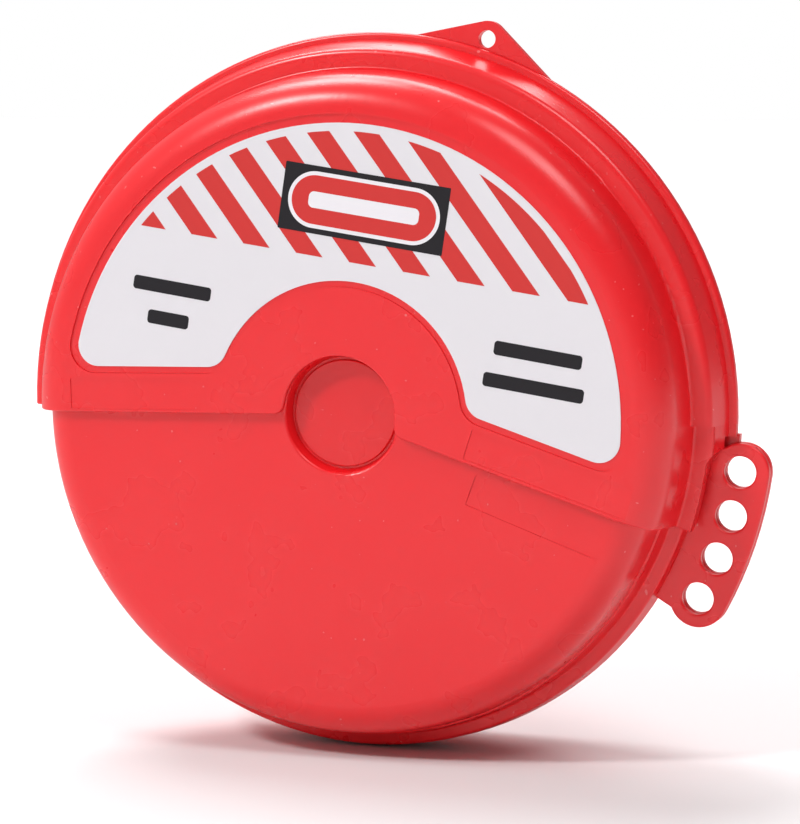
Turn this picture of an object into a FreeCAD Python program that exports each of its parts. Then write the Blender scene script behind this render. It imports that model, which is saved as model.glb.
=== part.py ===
import FreeCAD, Part

import math
import os

from FreeCAD import Vector

# Rotating lockout cover for a gate-valve handwheel.
#
# Two clamshell halves turn on one axis.  The outer half wraps the rim of the inner half, so the
# inner half slides round inside it.  Closed, they hide the whole handwheel and their two lugs
# line up for up to four padlocks.  Each half is a front shell and a back shell joined at mid depth.
#
# Frame (millimetres): X right, Z up, Y from front to back.  The turning axis is the Y axis.  The
# origin is the centre of the stem opening, in the outer face of the back plate.
# Depths below are measured backward from the outer front face.

# ---- driving dimensions ----------------------------------------------------------------------
DEPTH = 58.0                 # whole cover, front face to back face
PART_LINE = DEPTH / 2.0      # depth at which front and back shells meet
WALL = 1.8
RUN_GAP = 0.5                # running gap between the two halves' plates
WALL_SLOPE = 0.16            # draft of the drum walls, radius per depth

OUTER_START = -18.2          # angular span of the outer half, seen from the front
OUTER_END = 181.2
INNER_START = 166.0          # the inner half's ends are hidden under the outer half
INNER_END = 356.4

FLANGE_RADIUS = 98.0
FLANGE_DEPTH = 27.3          # front face of the flange
OUTER_DRUM = 85.7            # radius of the outer drum wall, carried forward to depth 0
OUTER_STEP_DEPTH = 17.2      # front face of the raised bead around the outer drum
END_STEP_DEPTH = 19.4        # lower step beside the lugs, where the bead stops
BEAD_END = -1.0              # angle at which the bead stops
LIP_RADIUS = 92.6            # the step's edge beside the lugs
SHOULDER_ROUND = 9.8

INNER_FACE_DEPTH = WALL + RUN_GAP
INNER_DRUM = OUTER_DRUM - WALL - 0.9
INNER_LEDGE_DEPTH = 15.4
INNER_LEDGE = 0.45
INNER_STEP_DEPTH = 21.5
INNER_RIM_RADIUS = 91.0

HUB_RADIUS = 15.2            # cut-out in the outer front plate
WELL_RADIUS = 15.4           # dished well in the inner front plate
WELL_FLOOR_DEPTH = 6.2
WELL_BACK_DEPTH = 7.4
WELL_TAPER = 0.8
DISC_RADIUS = 13.9           # knock-out disc, standing a little proud of the well's floor
DISC_THICKNESS = 0.8
DISC_REST = 1.0              # width of the ledge that the disc lies on
STEM_RADIUS = 20.0           # opening for the valve stem in the back plates
CORNER_ROUND = 3.0
EDGE_ROUND = 0.5             # softened edges of the outer half's open ends

LUG_OUTER_RADIUS = 107.8
LUG_HOLE_PITCH_RADIUS = 100.2
LUG_HOLE_RADIUS = 4.15
LUG_HOLE_COUNT = 4
LUG_FIRST_ANGLE = -8.0
LUG_STEP_ANGLE = -6.65
LUG_END_ROUND = 7.5
LUG_EDGE_ROUND = 0.6
LUG_ROOT_START = -4.6
LUG_ROOT_END = -31.3
LUG_THICKNESS = 2.5
LUG_GAP = 0.4
LUG_FRONT_DEPTH = PART_LINE - LUG_GAP - LUG_THICKNESS

HANG_ANGLE = 72.3
HANG_HOLE_PITCH_RADIUS = 100.8
HANG_HOLE_RADIUS = 2.3
HANG_END_ROUND = 4.7
HANG_SPREAD = 12.0           # half angle of the hang lug's foot on the flange

RECESS_DEPTH = 0.5
RECESS_RADIUS = 77.0
LABEL_RADIUS = 74.7
LABEL_INNER_RADIUS = 34.5
LABEL_EDGE_OFFSET = 12.1     # label's lower edges, measured from the cut edges
LABEL_THICKNESS = 0.3
LABEL_CORNER = 5.5
PANEL_DEPTH = 0.25           # blank rectangular insert marks in the front plates

REACH = 150.0                # larger than the cover, for cutting tools
AXIS = Vector(0, -1, 0)      # positive angles turn from +X to +Z
ORIGIN = Vector(0, 0, 0)


# ---- helpers ---------------------------------------------------------------------------------
def at(radius, angle):
    """Point in the XZ plane at a radius and an angle in degrees."""
    turn = math.radians(angle)
    return Vector(radius * math.cos(turn), 0, radius * math.sin(turn))


def rounded_wire(corners):
    """Closed wire through (point, radius) corners, each corner rounded by its own radius."""
    edges = []
    ends = []
    for index, (point, radius) in enumerate(corners):
        before = (corners[index - 1][0] - point).normalize()
        after = (corners[(index + 1) % len(corners)][0] - point).normalize()
        if radius == 0:
            ends.append((point, point))
            continue
        half = before.getAngle(after) / 2.0
        inward = (before + after).normalize()
        start = point + before * (radius / math.tan(half))
        finish = point + after * (radius / math.tan(half))
        middle = point + inward * (radius / math.sin(half) - radius)
        edges.append(Part.Arc(start, middle, finish).toShape())
        ends.append((start, finish))
    for index, (_, finish) in enumerate(ends):
        start = ends[(index + 1) % len(ends)][0]
        if finish.distanceToPoint(start) > 1e-6:
            edges.append(Part.makeLine(finish, start))
    return Part.Wire(Part.__sortEdges__(edges))


def turned(corners, start=0.0, finish=360.0):
    """Ring of (radius, depth, rounding) corners, turned about the axis between two angles."""
    wire = rounded_wire([(Vector(radius, depth - DEPTH, 0), rounding)
                         for radius, depth, rounding in corners])
    face = Part.Face(wire)
    face.rotate(ORIGIN, AXIS, start)
    return face.revolve(ORIGIN, AXIS, finish - start)


def prism(wire, front_depth, back_depth):
    """Straight block behind a flat wire of the XZ plane."""
    block = Part.Face(wire).extrude(Vector(0, back_depth - front_depth, 0))
    block.translate(Vector(0, front_depth - DEPTH, 0))
    return block


def cylinder(centre, radius, front_depth, back_depth):
    start = Vector(centre.x, front_depth - DEPTH, centre.z)
    return Part.makeCylinder(radius, back_depth - front_depth, start, Vector(0, 1, 0))


def sector(inner, outer, start, finish, front_depth, back_depth):
    """Block of a flat ring between two radii and two angles."""
    corners = [(inner, front_depth, 0), (outer, front_depth, 0),
               (outer, back_depth, 0), (inner, back_depth, 0)]
    return turned(corners, start, finish)


def end_edges(shell, angle):
    """Edges round a shell's flat end face at an angle."""
    found = []
    for face in shell.Faces:
        centre = face.CenterOfMass
        if not isinstance(face.Surface, Part.Plane) or abs(face.normalAt(0, 0).y) > 1e-6:
            continue
        turn = math.degrees(math.atan2(centre.z, centre.x))
        if abs((turn - angle + 180) % 360 - 180) < 0.5:
            found += face.Edges
    return found


def flat_edges(shape, depth, least_radius):
    """Edges that lie at one depth, outside a radius."""
    found = []
    for edge in shape.Edges:
        points = [vertex.Point for vertex in edge.Vertexes]
        points.append(edge.valueAt((edge.FirstParameter + edge.LastParameter) / 2))
        level = all(abs(point.y + DEPTH - depth) < 1e-4 for point in points)
        if level and math.hypot(points[-1].x, points[-1].z) > least_radius:
            found.append(edge)
    return found


def edges_near(shape, points):
    """Edges of a prism that run along its depth and pass through the given points."""
    found = []
    for edge in shape.Edges:
        first, last = edge.Vertexes[0].Point, edge.Vertexes[-1].Point
        runs_deep = abs(first.x - last.x) + abs(first.z - last.z) < 1e-4
        if runs_deep and any(math.hypot(first.x - p.x, first.z - p.z) < 0.6 for p in points):
            found.append(edge)
    return found


def mirrored(shape):
    """Front shell feature turned into the matching back shell feature."""
    return shape.mirror(Vector(0, PART_LINE - DEPTH, 0), Vector(0, 1, 0))


# ---- profiles --------------------------------------------------------------------------------
def outer_profile(step_depth):
    """Half section of the outer half without its flange: plate, shoulder, drum, step, drum."""
    inside = OUTER_DRUM - WALL
    step_inside = step_depth + WALL - 0.1
    return [
        (HUB_RADIUS - 6.0, 0, 0),
        (OUTER_DRUM, 0, SHOULDER_ROUND),
        (OUTER_DRUM + WALL_SLOPE * step_depth, step_depth, 0.8),
        (93.5, step_depth, 2.0),
        (96.0, FLANGE_DEPTH, 0),
        (96.0, PART_LINE - 0.05, 0),
        (94.2, PART_LINE - 0.05, 0),
        (91.9, step_inside, 0.8),
        (inside + WALL_SLOPE * step_inside, step_inside, 0.8),
        (inside, WALL, SHOULDER_ROUND - WALL),
        (HUB_RADIUS - 6.0, WALL, 0),
    ]


def flange(start, finish):
    """Flange round the outer half's part line."""
    return turned([
        (94.6, FLANGE_DEPTH, 0),
        (FLANGE_RADIUS, FLANGE_DEPTH, 1.1),
        (FLANGE_RADIUS, PART_LINE - 0.05, 0),
        (94.6, PART_LINE - 0.05, 0),
    ], start, finish)


def inner_profile(hub):
    """Half section of the inner half: plate, shoulder, drum with a fine ledge, step and rim."""
    face = INNER_FACE_DEPTH
    ledge_radius = INNER_DRUM + WALL_SLOPE * INNER_LEDGE_DEPTH
    step_radius = ledge_radius + INNER_LEDGE + 0.9
    return [
        (hub, face, 0),
        (INNER_DRUM + WALL_SLOPE * face, face, SHOULDER_ROUND - WALL),
        (ledge_radius, INNER_LEDGE_DEPTH, 0),
        (ledge_radius + INNER_LEDGE, INNER_LEDGE_DEPTH + 0.3, 0),
        (step_radius, INNER_STEP_DEPTH, 0.8),
        (90.2, INNER_STEP_DEPTH + 0.6, 1.1),
        (INNER_RIM_RADIUS, PART_LINE - 0.45, 0),
        (INNER_RIM_RADIUS - 0.4, PART_LINE - 0.05, 0),
        (INNER_RIM_RADIUS - 2.0, PART_LINE - 0.05, 0),
        (88.4, INNER_STEP_DEPTH + WALL + 0.6, 0.5),
        (step_radius - WALL, INNER_STEP_DEPTH + WALL, 0.5),
        (INNER_DRUM - WALL + WALL_SLOPE * face, face + WALL, SHOULDER_ROUND - 2 * WALL),
        (hub, face + WALL, 0),
    ]


# ---- cutting tools ---------------------------------------------------------------------------
def missing_wedge(hub_radius):
    """Everything the outer half leaves open: the lower sector and the round at the hub."""
    wire = Part.makePolygon([ORIGIN, at(REACH, OUTER_START), at(1.6 * REACH, -80),
                             at(REACH, OUTER_END), ORIGIN])
    wedge = prism(wire, -1, DEPTH + 1).fuse(cylinder(ORIGIN, hub_radius, -1, DEPTH + 1))
    wedge = wedge.removeSplitter()
    mouth = [at(hub_radius, OUTER_START), at(hub_radius, OUTER_END)]
    return wedge.makeFillet(CORNER_ROUND, edges_near(wedge, mouth))


def end_outline():
    """Outline of the low step beside the lugs, with the S-shaped sweep up to the flange."""
    inside = Part.makeLine(at(HUB_RADIUS - 3, OUTER_START - 9), at(HUB_RADIUS - 3, 0))
    base = Part.makeLine(at(HUB_RADIUS - 3, 0), at(99.5, 0))
    top = Part.makeLine(at(99.5, 0), at(99.5, -2.2))
    sweep = Part.BSplineCurve()
    sweep.interpolate([at(99.5, -2.2), at(96.6, -4.0), at(93.6, -5.9), at(LIP_RADIUS, -8.4)])
    rim = Part.Arc(at(LIP_RADIUS, -8.4), at(LIP_RADIUS, -14), at(LIP_RADIUS, OUTER_START - 4))
    end = Part.makeLine(at(LIP_RADIUS, OUTER_START - 4), at(HUB_RADIUS - 3, OUTER_START - 9))
    return Part.Wire([inside, base, top, sweep.toShape(), rim.toShape(), end])


def label_area(outer, inner, edge_offset, corner):
    """Flat area that follows the outer half's edges, with rounded corners."""
    ring = cylinder(ORIGIN, outer, 0, 10).cut(cylinder(ORIGIN, inner, 0, 10))
    lifted = []
    for angle, side in ((OUTER_START, 1), (OUTER_END, -1)):
        shift = at(edge_offset, angle + 90 * side)
        lifted.append((shift, angle))
    (right, right_angle), (left, left_angle) = lifted
    meet_height = edge_offset / math.sin(math.radians((OUTER_END - OUTER_START) / 2))
    apex = at(meet_height, (OUTER_START + OUTER_END) / 2)
    wire = Part.makePolygon([apex, right + at(REACH, right_angle), at(3 * REACH, right_angle - 40),
                             at(3 * REACH, left_angle + 40), left + at(REACH, left_angle), apex])
    area = ring.cut(prism(wire, -1, 11))
    corners = []
    for radius in (outer, inner):
        along = math.sqrt(radius ** 2 - edge_offset ** 2)
        corners += [right + at(along, right_angle), left + at(along, left_angle)]
    return area.makeFillet(corner, edges_near(area, corners))


# ---- lugs ------------------------------------------------------------------------------------
def lug_hole_angles():
    return [LUG_FIRST_ANGLE + LUG_STEP_ANGLE * index for index in range(LUG_HOLE_COUNT)]


def padlock_holes(front_depth, back_depth):
    holes = [cylinder(at(LUG_HOLE_PITCH_RADIUS, angle), LUG_HOLE_RADIUS, front_depth, back_depth)
             for angle in lug_hole_angles()]
    return holes[0].fuse(holes[1:])


def padlock_lug(root_radius, front_depth, back_depth):
    """Curved lug with rounded ends, softened edges and four padlock holes."""
    angles = lug_hole_angles()
    lug = sector(root_radius, LUG_OUTER_RADIUS, angles[-1], angles[0], front_depth, back_depth)
    for angle in (angles[0], angles[-1]):
        lug = lug.fuse(cylinder(at(LUG_HOLE_PITCH_RADIUS + 0.1, angle), LUG_END_ROUND,
                                front_depth, back_depth))
    lug = lug.fuse(sector(root_radius, LUG_HOLE_PITCH_RADIUS, LUG_ROOT_END, LUG_ROOT_START,
                          front_depth, back_depth))
    lug = lug.removeSplitter().cut(padlock_holes(front_depth - 1, back_depth + 1))
    rims = flat_edges(lug, front_depth, root_radius + 1.5)
    rims += flat_edges(lug, back_depth, root_radius + 1.5)
    return lug.makeFillet(LUG_EDGE_ROUND, rims)


def hang_lug(front_depth, back_depth):
    """Pointed lug on the flange for hanging the cover up."""
    tip = at(HANG_HOLE_PITCH_RADIUS, HANG_ANGLE)
    lug = cylinder(tip, HANG_END_ROUND, front_depth, back_depth)
    foot_radius = FLANGE_RADIUS - 0.6
    for side in (-1, 1):
        foot = at(foot_radius, HANG_ANGLE + side * HANG_SPREAD)
        to_foot = (foot - tip).normalize()
        lean = math.acos(HANG_END_ROUND / foot.distanceToPoint(tip))
        turn = FreeCAD.Rotation(AXIS, -side * math.degrees(lean))
        touch = tip + turn.multVec(to_foot) * HANG_END_ROUND
        wire = Part.makePolygon([tip, touch, foot, at(foot_radius - 3, HANG_ANGLE), tip])
        lug = lug.fuse(prism(wire, front_depth, back_depth))
    hole = cylinder(tip, HANG_HOLE_RADIUS, front_depth - 1, back_depth + 1)
    bore = cylinder(ORIGIN, foot_radius - 2.5, front_depth - 1, back_depth + 1)
    return lug.removeSplitter().cut(hole).cut(bore)


# ---- sub-parts -------------------------------------------------------------------------------
def blank_mark(angle, start, finish, low, high, face_depth):
    """Shallow rectangle left by a blank mould insert, set along a line through the axis."""
    turn = FreeCAD.Rotation(AXIS, angle)
    corners = [Vector(start, 0, low), Vector(finish, 0, low),
               Vector(finish, 0, high), Vector(start, 0, high)]
    outline = rounded_wire([(turn.multVec(corner), 0.4) for corner in corners])
    return prism(outline, -1, face_depth + PANEL_DEPTH)


def outer_front_end(wedge):
    """Right end of the outer front shell, beside the lugs: a low step and an S-shaped skirt."""
    seam = PART_LINE - 0.05
    end = turned(outer_profile(END_STEP_DEPTH), OUTER_START - 9, BEAD_END).cut(wedge)
    end = end.makeFillet(EDGE_ROUND, end_edges(end, OUTER_START))
    skirt = sector(91.7, 94.0, -9.0, BEAD_END, END_STEP_DEPTH + 1.0, seam)
    stop = sector(91.7, FLANGE_RADIUS, -2.9, BEAD_END, 27.5, seam)
    lug_room = sector(89.0, 110.0, -40.0, -2.9, LUG_FRONT_DEPTH - LUG_GAP, DEPTH)
    return end.fuse([skirt, stop]).common(prism(end_outline(), -1, DEPTH)).cut(lug_room)


def outer_front_shell():
    wedge = missing_wedge(HUB_RADIUS)
    body = turned(outer_profile(OUTER_STEP_DEPTH), BEAD_END, OUTER_END + 8).cut(wedge)
    body = body.makeFillet(EDGE_ROUND, end_edges(body, OUTER_END))
    rim = flange(BEAD_END, OUTER_END)
    shell = body.fuse([rim, outer_front_end(wedge)])
    recess = label_area(RECESS_RADIUS, LABEL_INNER_RADIUS - 1.6, LABEL_EDGE_OFFSET - 1.8,
                        LABEL_CORNER + 1.5)
    recess.translate(Vector(0, RECESS_DEPTH - 10, 0))
    marks = [blank_mark(OUTER_END - 180, -75, -39, 0.8, 8.8, 0),
             blank_mark(OUTER_START, 35, 82, 1.0, 9.0, 0)]
    return shell.cut([recess] + marks).removeSplitter()


def outer_back_shell():
    shell = mirrored(turned(outer_profile(OUTER_STEP_DEPTH), OUTER_START - 3, OUTER_END + 8))
    shell = shell.cut(missing_wedge(STEM_RADIUS))
    shell = shell.makeFillet(EDGE_ROUND, end_edges(shell, OUTER_START) + end_edges(shell, OUTER_END))
    front, back = PART_LINE + 0.05, PART_LINE + LUG_THICKNESS
    lug = padlock_lug(91.8, front, back)
    root = sector(92.5, 98.6, LUG_ROOT_START - 0.6, -2.6, front, back)
    rim = mirrored(flange(OUTER_START, OUTER_END))
    shell = shell.fuse([rim, lug, root, hang_lug(front, back)]).removeSplitter()
    return shell.cut(padlock_holes(front - 1, back + 1))


def inner_front_shell():
    shell = turned(inner_profile(WELL_RADIUS + 2.0), INNER_START, INNER_END)
    face = INNER_FACE_DEPTH
    collar = turned([
        (WELL_RADIUS + 8.0, face, 0),
        (WELL_RADIUS, face, 0.8),
        (WELL_RADIUS - WELL_TAPER, WELL_FLOOR_DEPTH, 0.2),
        (DISC_RADIUS - DISC_REST, WELL_FLOOR_DEPTH, 0),
        (DISC_RADIUS - DISC_REST, WELL_BACK_DEPTH, 0),
        (WELL_RADIUS, WELL_BACK_DEPTH, 1.0),
        (WELL_RADIUS + 2.0, face + WALL, 0),
        (WELL_RADIUS + 8.0, face + WALL, 0),
    ])
    lug = padlock_lug(INNER_RIM_RADIUS - 1.2, LUG_FRONT_DEPTH, LUG_FRONT_DEPTH + LUG_THICKNESS)
    shell = shell.fuse([collar, lug]).removeSplitter()
    return shell.cut(blank_mark(OUTER_START - 1.8, 39, 74.5, -9.2, -0.9, face))


def inner_back_shell():
    shell = mirrored(turned(inner_profile(STEM_RADIUS - 6.0), INNER_START, INNER_END))
    return shell.cut(cylinder(ORIGIN, STEM_RADIUS, DEPTH / 2, DEPTH + 1))


def knock_out_disc():
    """Thin disc on the floor of the well, broken out for a rising stem."""
    front = WELL_FLOOR_DEPTH - DISC_THICKNESS
    return turned([(0, front, 0), (DISC_RADIUS, front, 0.4), (DISC_RADIUS, WELL_FLOOR_DEPTH, 0),
                   (0, WELL_FLOOR_DEPTH, 0)])


def label():
    area = label_area(LABEL_RADIUS, LABEL_INNER_RADIUS, LABEL_EDGE_OFFSET, LABEL_CORNER)
    slab = cylinder(ORIGIN, REACH, RECESS_DEPTH - LABEL_THICKNESS, RECESS_DEPTH)
    area.translate(Vector(0, -3, 0))
    return area.common(slab)


SUB_PARTS = {
    "outer_front_shell": outer_front_shell,
    "outer_back_shell": outer_back_shell,
    "inner_front_shell": inner_front_shell,
    "inner_back_shell": inner_back_shell,
    "knock_out_disc": knock_out_disc,
    "warning_label": label,
}

os.makedirs("parts", exist_ok=True)
for name, make in SUB_PARTS.items():
    shape = make()
    shape.exportStep("parts/" + name + ".step")
    print(name, "valid", shape.isValid(), "solids", len(shape.Solids), "volume", round(shape.Volume))
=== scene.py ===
import math

import bmesh
import bpy
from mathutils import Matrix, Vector


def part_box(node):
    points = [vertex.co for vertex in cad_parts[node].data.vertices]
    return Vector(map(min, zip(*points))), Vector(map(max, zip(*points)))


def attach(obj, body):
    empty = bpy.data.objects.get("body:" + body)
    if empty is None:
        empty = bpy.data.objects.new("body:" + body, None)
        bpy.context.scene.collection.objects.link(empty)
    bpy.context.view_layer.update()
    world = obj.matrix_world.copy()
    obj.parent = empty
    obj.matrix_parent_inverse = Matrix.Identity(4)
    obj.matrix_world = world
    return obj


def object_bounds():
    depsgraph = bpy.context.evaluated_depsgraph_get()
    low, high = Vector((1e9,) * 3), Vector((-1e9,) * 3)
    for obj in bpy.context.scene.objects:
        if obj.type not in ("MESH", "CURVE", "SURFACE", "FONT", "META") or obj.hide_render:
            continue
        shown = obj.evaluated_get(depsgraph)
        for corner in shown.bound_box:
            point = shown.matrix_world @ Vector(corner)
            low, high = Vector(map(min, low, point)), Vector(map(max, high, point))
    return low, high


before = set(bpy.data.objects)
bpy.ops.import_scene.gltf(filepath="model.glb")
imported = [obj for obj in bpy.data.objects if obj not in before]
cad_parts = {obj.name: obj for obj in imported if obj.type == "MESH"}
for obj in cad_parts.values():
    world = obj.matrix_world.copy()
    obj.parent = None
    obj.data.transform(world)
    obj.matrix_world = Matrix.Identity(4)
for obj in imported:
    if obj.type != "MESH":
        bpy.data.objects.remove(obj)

# Rotating lockout cover for a gate-valve handwheel: materials, label print, light and camera.
# Lengths are in metres, in the frame of the CAD model: X right, Y from front to back, Z up.

cad_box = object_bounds()    # straight after loading, before anything is added
MM = 0.001

# ---- label print -----------------------------------------------------------------------------
# Places on the label are (along its base, up its axis of symmetry), from the cover's own axis.
LABEL_AXIS = math.radians(81.5)    # the label's axis of symmetry, up the middle of the outer half
PRINT_RADIUS = 72.6 * MM           # outer limit of the stripes
STRIPE_BASE = 39.3 * MM            # height of the stripes' lower ends along the label's axis
STRIPE_COUNT = 9
STRIPE_FIRST = -22.0 * MM          # left edge of the first stripe, if it ran down to the axis' height
STRIPE_PITCH = 14.63 * MM          # pitch and width are measured along the base
STRIPE_WIDTH = 7.3 * MM
PANEL_WIDTH = 44.8 * MM
PANEL_HEIGHT = 17.3 * MM
PANEL_CORNER = 0.3 * MM
PANEL_PLACE = (-1.0 * MM, 53.55 * MM)
BADGE_WIDTH = 39.2 * MM
BADGE_HEIGHT = 12.5 * MM
BADGE_LINE = 1.0 * MM              # width of the white line round the badge
BADGE_BAR_WIDTH = 30.0 * MM
BADGE_BAR_HEIGHT = 4.2 * MM
BADGE_BAR_CORNER = 1.4 * MM
SIDE_BAR_PLACE = (50.1 * MM, 20.4 * MM)   # centre of each pair of bars beside the hub
SIDE_BAR_PITCH = 8.3 * MM
SIDE_BAR_HEIGHT = 3.6 * MM
SIDE_BAR_CORNER = 0.9 * MM
LEFT_BARS = (21.9 * MM, 11.6 * MM)        # widths, the upper bar first
RIGHT_BARS = (23.2 * MM, 26.6 * MM)
PRINT_THICKNESS = 0.03 * MM
DISC_STEPS = 240                   # sides of the round edge that the stripes are cut from
CORNER_STEPS = 16                  # sides of each round corner

# ---- colours (linear) ------------------------------------------------------------------------
COVER_RED = (0.87, 0.011, 0.017)
SPECK_RED = (0.95, 0.30, 0.30)
DISC_RED = (0.81, 0.009, 0.014)
LABEL_WHITE = (0.80, 0.775, 0.81)
PRINT_RED = (0.60, 0.030, 0.027)
PRINT_DARK = (0.010, 0.008, 0.011)
FLOOR_WHITE = (0.74, 0.73, 0.735)

# ---- surfaces --------------------------------------------------------------------------------
# Noise scales are in features per metre.
PLASTIC_ROUGHNESS = 0.28
PLASTIC_ROUGHNESS_RANGE = (0.25, 0.33)   # what the gloss noise is mapped to
PLASTIC_SPECULAR = 0.6
GLOSS_NOISE = 60
SPECK_NOISE = 900
SPECK_THRESHOLDS = (0.83, 0.87)    # noise below the first has no speck, above the second a full one
SPECK_STRENGTH = 0.55
BUMP_NOISE = 700
BUMP_STRENGTH = 0.06
BUMP_HEIGHT = 0.3 * MM
PRINT_ROUGHNESS = 0.35
FLOOR_ROUGHNESS = 0.9
SHADOW_GEOMETRY_OFFSET = 0.15      # both offsets soften facets where curved faces turn dark
SHADOW_SHADING_OFFSET = 0.1


# ---- materials -------------------------------------------------------------------------------
def new_material(name, colour, roughness, specular=0.5):
    material = bpy.data.materials.new(name)
    material.use_nodes = True
    shader = material.node_tree.nodes["Principled BSDF"]
    shader.inputs["Base Color"].default_value = (*colour, 1)
    shader.inputs["Roughness"].default_value = roughness
    shader.inputs["Specular IOR Level"].default_value = specular
    return material, shader


def noise(tree, scale, detail):
    """Noise in the model's own coordinates."""
    coordinates = tree.nodes.new("ShaderNodeTexCoord")
    texture = tree.nodes.new("ShaderNodeTexNoise")
    texture.inputs["Scale"].default_value = scale
    texture.inputs["Detail"].default_value = detail
    tree.links.new(coordinates.outputs["Object"], texture.inputs["Vector"])
    return texture.outputs["Fac"]


def ramp(tree, source, low, high, start, finish):
    """Maps source from low..high to start..finish, held at both ends."""
    mapping = tree.nodes.new("ShaderNodeMapRange")
    mapping.inputs["From Min"].default_value = low
    mapping.inputs["From Max"].default_value = high
    mapping.inputs["To Min"].default_value = start
    mapping.inputs["To Max"].default_value = finish
    tree.links.new(source, mapping.inputs["Value"])
    return mapping.outputs["Result"]


def cover_plastic(name, colour):
    """Moulded plastic: uneven soft gloss, a faint grain and a few light specks of handling."""
    material, shader = new_material(name, colour, PLASTIC_ROUGHNESS, PLASTIC_SPECULAR)
    tree = material.node_tree
    mix = tree.nodes.new("ShaderNodeMix")
    mix.data_type = "RGBA"
    mix.inputs["A"].default_value = (*colour, 1)
    mix.inputs["B"].default_value = (*SPECK_RED, 1)
    specks = ramp(tree, noise(tree, SPECK_NOISE, 0.0), *SPECK_THRESHOLDS, 0.0, SPECK_STRENGTH)
    tree.links.new(specks, mix.inputs["Factor"])
    tree.links.new(mix.outputs["Result"], shader.inputs["Base Color"])
    gloss = ramp(tree, noise(tree, GLOSS_NOISE, 3.0), 0.3, 0.7, *PLASTIC_ROUGHNESS_RANGE)
    tree.links.new(gloss, shader.inputs["Roughness"])
    bump = tree.nodes.new("ShaderNodeBump")
    bump.inputs["Strength"].default_value = BUMP_STRENGTH
    bump.inputs["Distance"].default_value = BUMP_HEIGHT
    tree.links.new(noise(tree, BUMP_NOISE, 2.0), bump.inputs["Height"])
    tree.links.new(bump.outputs["Normal"], shader.inputs["Normal"])
    return material


def dress(node, material):
    """Gives a CAD piece its material; its mesh stays as it is."""
    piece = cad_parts[node]
    piece.shadow_terminator_geometry_offset = SHADOW_GEOMETRY_OFFSET
    piece.shadow_terminator_shading_offset = SHADOW_SHADING_OFFSET
    piece.data.materials.clear()
    piece.data.materials.append(material)


# ---- shapes of the print ----------------------------------------------------------------------
def clipped(outline, inside):
    """The part of a convex outline where inside(point) is positive; inside must be linear."""
    kept = []
    for index, point in enumerate(outline):
        before = outline[index - 1]
        value, value_before = inside(point), inside(before)
        if (value > 0) != (value_before > 0):
            share = value_before / (value_before - value)
            kept.append(before.lerp(point, share))
        if value > 0:
            kept.append(point)
    return kept


def on_circle(radius, turn):
    return Vector((radius * math.cos(turn), radius * math.sin(turn)))


def print_disc():
    """The round area, centred on the cover's axis, that holds all the stripes."""
    return [on_circle(PRINT_RADIUS, 2 * math.pi * index / DISC_STEPS) for index in range(DISC_STEPS)]


def stripe_outline(start):
    """Diagonal stripe, cut off along the print's round edge and straight base."""
    outline = clipped(print_disc(), lambda p: p.x + p.y - start)
    outline = clipped(outline, lambda p: start + STRIPE_WIDTH - p.x - p.y)
    return clipped(outline, lambda p: p.y - STRIPE_BASE)


def rounded_outline(centre, width, height, radius):
    """Rectangle with round corners."""
    outline = []
    for quarter in range(4):
        side_x = 1 if quarter in (0, 3) else -1
        side_y = 1 if quarter in (0, 1) else -1
        hub = Vector((centre[0] + side_x * (width / 2 - radius),
                      centre[1] + side_y * (height / 2 - radius)))
        for step in range(CORNER_STEPS + 1):
            outline.append(hub + on_circle(radius, math.pi / 2 * (quarter + step / CORNER_STEPS)))
    return outline


def tilted(outline):
    """Places on the label as the model's X and Z."""
    right = Vector((math.sin(LABEL_AXIS), -math.cos(LABEL_AXIS)))
    up = Vector((math.cos(LABEL_AXIS), math.sin(LABEL_AXIS)))
    return [right * point.x + up * point.y for point in outline]


# ---- pieces of the print ---------------------------------------------------------------------
def print_piece(name, outline, layer, material):
    """Thin closed slab of ink; layer 0 lies on the label's face, each later layer on the last."""
    outline = tilted(outline)
    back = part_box("warning_label")[0].y - layer * PRINT_THICKNESS
    front = back - PRINT_THICKNESS
    mesh = bpy.data.meshes.new(name)
    shape = bmesh.new()
    lower = [shape.verts.new((point.x, back, point.y)) for point in outline]
    upper = [shape.verts.new((point.x, front, point.y)) for point in outline]
    shape.faces.new(upper)
    shape.faces.new(lower[::-1])
    for index in range(len(outline)):
        after = (index + 1) % len(outline)
        shape.faces.new((lower[index], lower[after], upper[after], upper[index]))
    bmesh.ops.recalc_face_normals(shape, faces=shape.faces)
    shape.to_mesh(mesh)
    shape.free()
    piece = bpy.data.objects.new(name, mesh)
    bpy.context.scene.collection.objects.link(piece)
    mesh.materials.append(material)
    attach(piece, "outer_half")


def add_stripes(red):
    for index in range(STRIPE_COUNT):
        outline = stripe_outline(STRIPE_FIRST + index * STRIPE_PITCH)
        print_piece(f"label_stripe_{index + 1}", outline, 0, red)


def add_badge(red, dark, white):
    """Dark panel over the stripes, with a round-ended badge and a plain bar for its word."""
    rim_height = BADGE_HEIGHT + 2 * BADGE_LINE
    panel = rounded_outline(PANEL_PLACE, PANEL_WIDTH, PANEL_HEIGHT, PANEL_CORNER)
    rim = rounded_outline(PANEL_PLACE, BADGE_WIDTH + 2 * BADGE_LINE, rim_height, rim_height / 2)
    badge = rounded_outline(PANEL_PLACE, BADGE_WIDTH, BADGE_HEIGHT, BADGE_HEIGHT / 2)
    bar = rounded_outline(PANEL_PLACE, BADGE_BAR_WIDTH, BADGE_BAR_HEIGHT, BADGE_BAR_CORNER)
    pile = (("label_panel", panel, dark), ("label_badge_rim", rim, white),
            ("label_badge", badge, red), ("label_badge_bar", bar, white))
    for layer, (name, outline, material) in enumerate(pile, start=1):
        print_piece(name, outline, layer, material)


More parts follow.
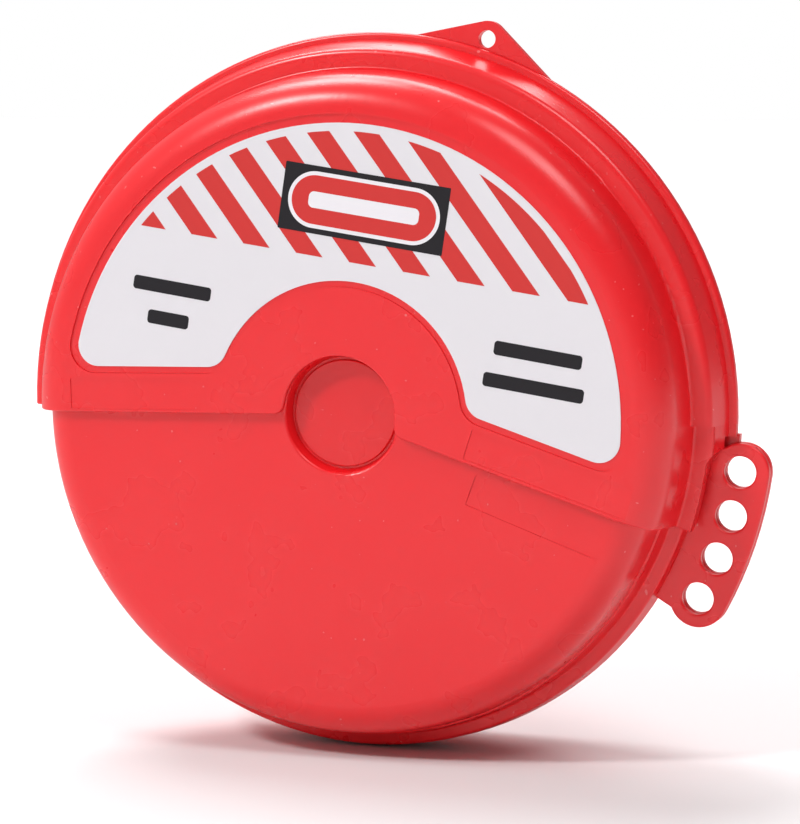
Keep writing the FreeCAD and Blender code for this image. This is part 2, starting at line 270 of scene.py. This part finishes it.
def add_side_bars(dark):
    """Plain bars beside the hub, in place of the label's lines of words."""
    for side, side_name, widths in ((-1, "left", LEFT_BARS), (1, "right", RIGHT_BARS)):
        for row, width in enumerate(widths):
            centre = (side * SIDE_BAR_PLACE[0], SIDE_BAR_PLACE[1] + (0.5 - row) * SIDE_BAR_PITCH)
            bar = rounded_outline(centre, width, SIDE_BAR_HEIGHT, SIDE_BAR_CORNER)
            print_piece(f"label_{side_name}_bar_{row + 1}", bar, 0, dark)


# ---- stage and light -------------------------------------------------------------------------
FLOOR_SIZE = 30.0
WORLD_WHITE = (1, 1, 1, 1)
WORLD_SEEN = 1.0                   # strength of the surroundings as the camera sees them
WORLD_LEFT = 0.62                  # their strength as light, from the left and from the right
WORLD_RIGHT = 0.15
WORLD_TURN = 0.8                   # how far to each side the change between the two goes on
# Each sun: name, the way its light travels, strength, apparent size in degrees.
SUNS = (("back_sun", (0.42, -0.34, -1), 1.7, 26),      # from behind, on the left
        ("front_sun", (-0.50, 0.35, -1), 1.0, 26),     # from the front, on the right
        ("key_light", (0.68, 0.85, -1), 1.45, 9))      # from the front, on the left
BACK_LIGHT_PLACE = Vector((-0.2, 1.0, 1.0))
BACK_LIGHT_SIZE = 0.8
BACK_LIGHT_POWER = 8


def add_floor():
    bpy.ops.mesh.primitive_plane_add(size=FLOOR_SIZE, location=(0, 0, cad_box[0][2]))
    floor = bpy.context.object
    floor.name = "floor"
    floor.data.materials.append(new_material("floor_white", FLOOR_WHITE, FLOOR_ROUGHNESS, 0.0)[0])


def add_world():
    """Surroundings that are plain white to the camera, and brighter on the left as light."""
    world = bpy.data.worlds.new("studio")
    world.use_nodes = True
    tree = world.node_tree
    lit = tree.nodes["Background"]
    lit.inputs["Color"].default_value = WORLD_WHITE
    coordinates = tree.nodes.new("ShaderNodeTexCoord")
    direction = tree.nodes.new("ShaderNodeSeparateXYZ")
    tree.links.new(coordinates.outputs["Generated"], direction.inputs["Vector"])
    strength = ramp(tree, direction.outputs["X"], -WORLD_TURN, WORLD_TURN, WORLD_LEFT, WORLD_RIGHT)
    tree.links.new(strength, lit.inputs["Strength"])
    seen = tree.nodes.new("ShaderNodeBackground")
    seen.inputs["Color"].default_value = WORLD_WHITE
    seen.inputs["Strength"].default_value = WORLD_SEEN
    path = tree.nodes.new("ShaderNodeLightPath")
    mix = tree.nodes.new("ShaderNodeMixShader")
    tree.links.new(path.outputs["Is Camera Ray"], mix.inputs["Fac"])
    tree.links.new(lit.outputs["Background"], mix.inputs[1])
    tree.links.new(seen.outputs["Background"], mix.inputs[2])
    tree.links.new(mix.outputs["Shader"], tree.nodes["World Output"].inputs["Surface"])
    bpy.context.scene.world = world


def add_light(name, kind, towards):
    """A light whose beam points towards a direction."""
    light = bpy.data.objects.new(name, bpy.data.lights.new(name, kind))
    bpy.context.scene.collection.objects.link(light)
    light.rotation_euler = Vector(towards).to_track_quat("-Z", "Y").to_euler()
    return light


def add_suns():
    for name, towards, strength, size in SUNS:
        sun = add_light(name, "SUN", towards)
        sun.data.energy = strength
        sun.data.angle = math.radians(size)


def add_back_light():
    """Round soft light above and behind, aimed at the frame's origin."""
    light = add_light("back_light", "AREA", -BACK_LIGHT_PLACE)
    light.location = BACK_LIGHT_PLACE
    light.data.shape = "DISK"
    light.data.size = BACK_LIGHT_SIZE
    light.data.energy = BACK_LIGHT_POWER


# ---- camera ----------------------------------------------------------------------------------
VIEW_AZIMUTH = math.radians(18.87)     # to the right of straight in front
VIEW_ELEVATION = math.radians(5.98)
VIEW_DISTANCE = 0.7892
VIEW_TARGET = Vector((0.01679, -0.058, 0.00139))
VIEW_LENS = 135.44                     # focal length and sensor width are in millimetres
VIEW_SENSOR = 36
VIEW_REACH = 100


def add_camera():
    away = Vector((math.sin(VIEW_AZIMUTH) * math.cos(VIEW_ELEVATION),
                   -math.cos(VIEW_AZIMUTH) * math.cos(VIEW_ELEVATION),
                   math.sin(VIEW_ELEVATION)))
    data = bpy.data.cameras.new("camera")
    data.lens = VIEW_LENS
    data.sensor_width = VIEW_SENSOR
    data.clip_end = VIEW_REACH
    camera = bpy.data.objects.new("camera", data)
    bpy.context.scene.collection.objects.link(camera)
    camera.location = VIEW_TARGET + away * VIEW_DISTANCE
    camera.rotation_euler = (-away).to_track_quat("-Z", "Y").to_euler()
    bpy.context.scene.camera = camera


# ---- scene -----------------------------------------------------------------------------------
plastic = cover_plastic("red_plastic", COVER_RED)
for shell in ("outer_front_shell", "outer_back_shell", "inner_front_shell", "inner_back_shell"):
    dress(shell, plastic)
dress("knock_out_disc", cover_plastic("disc_plastic", DISC_RED))
label_white = new_material("label_white", LABEL_WHITE, PRINT_ROUGHNESS)[0]
dress("warning_label", label_white)
print_red = new_material("print_red", PRINT_RED, PRINT_ROUGHNESS, 0.35)[0]
print_dark = new_material("print_dark", PRINT_DARK, PRINT_ROUGHNESS, 0.3)[0]
add_stripes(print_red)
add_badge(print_red, print_dark, label_white)
add_side_bars(print_dark)
add_floor()
add_world()
add_suns()
add_back_light()
add_camera()
bpy.context.scene.view_settings.view_transform = "Standard"
